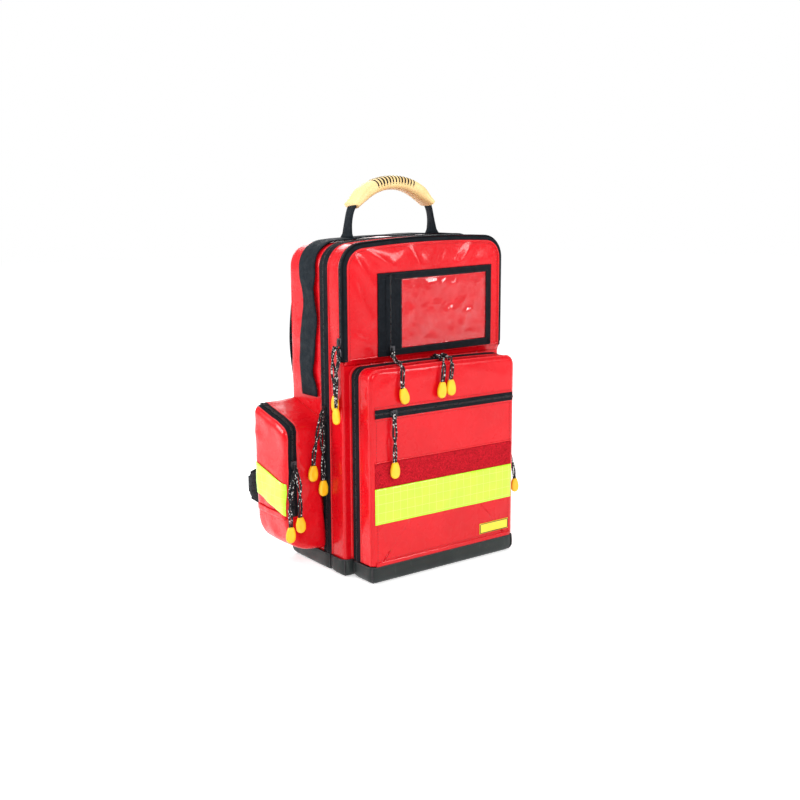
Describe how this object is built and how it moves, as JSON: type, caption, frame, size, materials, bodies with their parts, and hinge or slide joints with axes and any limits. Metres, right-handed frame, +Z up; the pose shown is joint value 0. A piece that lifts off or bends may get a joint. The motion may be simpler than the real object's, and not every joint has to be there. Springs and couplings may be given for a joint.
{
  "type": "trauma backpack",
  "caption": "Upright emergency rucksack in glossy tarpaulin with zipped compartments, window flap, front and side pockets, reflective bands, carry handle and harness.",
  "frame": {"origin": "on the surface that the pack stands on, under the main boot, in the middle plane and level with the sliders of the main zip", "axes": "+Z up the pack, -Y out of its front, +X to the right for someone facing the front"},
  "size_m": [0.4323, 0.2727, 0.5565],
  "materials": {
    "red_tarpaulin": "glossy PVC-coated tarpaulin, creased, sewn",
    "red_loop_tape": "brushed loop tape",
    "black_zip_tape": "coil zip and woven binding tape",
    "black_webbing": "woven polyester webbing",
    "black_mesh_padding": "spacer mesh over foam",
    "rubberised_boot": "dark grey rubberised tarpaulin, moulded",
    "clear_film": "clear flexible film",
    "lime_reflective": "fluorescent lime prismatic tape",
    "yellow_plate": "printed yellow plate, left blank",
    "tan_grip": "pale leather-like grip sleeve",
    "blackened_metal": "black lacquered die-cast zip slider",
    "black_plastic": "moulded acetal buckle",
    "pull_cord_and_tag": "black flecked cord moulded into a yellow tag"
  },
  "bodies": {
    "main_compartment": {"main_shell": "red_tarpaulin", "main_zip": "black_zip_tape", "main_boot": "rubberised_boot", "back_panel": "black_mesh_padding", "carry_strap": "black_webbing", "side_pocket_left": "red_tarpaulin", "side_pocket_right": "red_tarpaulin", "side_zip_left": "black_zip_tape", "side_zip_right": "black_zip_tape", "shoulder_strap_left": "black_mesh_padding", "shoulder_strap_right": "black_mesh_padding", "ladder_lock_left": "black_plastic", "ladder_lock_right": "black_plastic", "lower_webbing_left": "black_webbing", "lower_webbing_right": "black_webbing"},
    "main_lid": {"mid_shell": "red_tarpaulin", "mid_zip": "black_zip_tape", "mid_boot": "rubberised_boot", "front_boot": "rubberised_boot", "front_pocket_gusset": "red_tarpaulin", "front_pocket_zip": "black_zip_tape"},
    "window_flap": {"window_flap": "red_tarpaulin", "window_frame": "black_zip_tape", "window_film": "clear_film", "window_zip": "black_zip_tape"},
    "front_pocket_lid": {"front_pocket_cover": "red_tarpaulin", "flat_pocket_zip": "black_zip_tape", "loop_strip": "red_loop_tape", "reflective_band": "lime_reflective", "name_plate": "yellow_plate"},
    "side_cover_left": {"side_cover_left": "red_tarpaulin", "side_band_left": "lime_reflective"},
    "side_cover_right": {"side_cover_right": "red_tarpaulin", "side_band_right": "lime_reflective"},
    "carry_handle": {"handle_webbing": "black_webbing", "handle_grip": "tan_grip"},
    "hip_wing_left": {"hip_wing_left": "black_mesh_padding"},
    "hip_wing_right": {"hip_wing_right": "black_mesh_padding"},
    "window_slider": {"window_slider": "blackened_metal", "window_pull": "pull_cord_and_tag"},
    "pocket_left_slider": {"pocket_left_slider": "blackened_metal", "pocket_left_pull": "pull_cord_and_tag"},
    "pocket_right_slider": {"pocket_right_slider": "blackened_metal", "pocket_right_pull": "pull_cord_and_tag"},
    "flat_pocket_slider": {"flat_pocket_slider": "blackened_metal", "flat_pocket_pull": "pull_cord_and_tag"},
    "mid_upper_slider": {"mid_upper_slider": "blackened_metal", "mid_upper_pull": "pull_cord_and_tag"},
    "mid_lower_slider": {"mid_lower_slider": "blackened_metal", "mid_lower_pull": "pull_cord_and_tag"},
    "main_upper_slider": {"main_upper_slider": "blackened_metal", "main_upper_pull": "pull_cord_and_tag"},
    "main_lower_slider": {"main_lower_slider": "blackened_metal", "main_lower_pull": "pull_cord_and_tag"},
    "side_left_upper_slider": {"side_left_upper_slider": "blackened_metal", "side_left_upper_pull": "pull_cord_and_tag"},
    "side_left_lower_slider": {"side_left_lower_slider": "blackened_metal", "side_left_lower_pull": "pull_cord_and_tag"},
    "side_right_slider": {"side_right_slider": "blackened_metal", "side_right_pull": "pull_cord_and_tag"}
  },
  "joints": [
    {"name": "main_lid_hinge", "type": "hinge", "parent": "main_compartment", "child": "main_lid", "pos_m": [0, -0.007, 0.004], "axis": [1, 0, 0], "range_deg": [0, 90]},
    {"name": "window_flap_hinge", "type": "hinge", "parent": "main_lid", "child": "window_flap", "pos_m": [0, -0.044, 0.305], "axis": [1, 0, 0], "range_deg": [0, 60], "deforming": ["window_pull"]},
    {"name": "front_pocket_hinge", "type": "hinge", "parent": "main_lid", "child": "front_pocket_lid", "pos_m": [0, -0.092, 0.025], "axis": [1, 0, 0], "range_deg": [0, 90]},
    {"name": "side_cover_left_hinge", "type": "hinge", "parent": "main_compartment", "child": "side_cover_left", "pos_m": [-0.205, 0.0055, 0.086], "axis": [0, -1, 0], "range_deg": [0, 100]},
    {"name": "side_cover_right_hinge", "type": "hinge", "parent": "main_compartment", "child": "side_cover_right", "pos_m": [0.205, 0.0055, 0.086], "axis": [0, 1, 0], "range_deg": [0, 100]},
    {"name": "carry_handle_hinge", "type": "hinge", "parent": "main_compartment", "child": "carry_handle", "pos_m": [0, 0.038, 0.474], "axis": [1, 0, 0], "range_deg": [-70, 70], "deforming": ["handle_webbing"]},
    {"name": "hip_wing_left_hinge", "type": "hinge", "parent": "main_compartment", "child": "hip_wing_left", "pos_m": [-0.112, 0.118, 0.098], "axis": [0, 0, 1], "range_deg": [-40, 20]},
    {"name": "hip_wing_right_hinge", "type": "hinge", "parent": "main_compartment", "child": "hip_wing_right", "pos_m": [0.112, 0.118, 0.098], "axis": [0, 0, -1], "range_deg": [-40, 20]},
    {"name": "window_slide", "type": "slide", "parent": "window_flap", "child": "window_slider", "axis": [0, 0, 1], "range_m": [0, 0.095]},
    {"name": "pocket_left_slide", "type": "slide", "parent": "front_pocket_lid", "child": "pocket_left_slider", "axis": [1, 0, 0], "range_m": [-0.1, 0]},
    {"name": "pocket_right_slide", "type": "slide", "parent": "front_pocket_lid", "child": "pocket_right_slider", "axis": [1, 0, 0], "range_m": [0, 0.09]},
    {"name": "flat_pocket_slide", "type": "slide", "parent": "front_pocket_lid", "child": "flat_pocket_slider", "axis": [1, 0, 0], "range_m": [0, 0.2]},
    {"name": "mid_upper_slide", "type": "slide", "parent": "main_lid", "child": "mid_upper_slider", "axis": [0, 0, 1], "range_m": [0, 0.045]},
    {"name": "mid_lower_slide", "type": "slide", "parent": "main_lid", "child": "mid_lower_slider", "axis": [0, 0, 1], "range_m": [-0.005, 0]},
    {"name": "main_upper_slide", "type": "slide", "parent": "main_compartment", "child": "main_upper_slider", "axis": [0, 0, 1], "range_m": [0, 0.17]},
    {"name": "main_lower_slide", "type": "slide", "parent": "main_compartment", "child": "main_lower_slider", "axis": [0, 0, 1], "range_m": [-0.08, 0]},
    {"name": "side_left_upper_slide", "type": "slide", "parent": "main_compartment", "child": "side_left_upper_slider", "axis": [0, 0, 1], "range_m": [0, 0.045]},
    {"name": "side_left_lower_slide", "type": "slide", "parent": "main_compartment", "child": "side_left_lower_slider", "axis": [0, 0, 1], "range_m": [-0.045, 0]},
    {"name": "side_right_slide", "type": "slide", "parent": "main_compartment", "child": "side_right_slider", "axis": [0, 0, 1], "range_m": [-0.045, 0.05]}
  ]
}
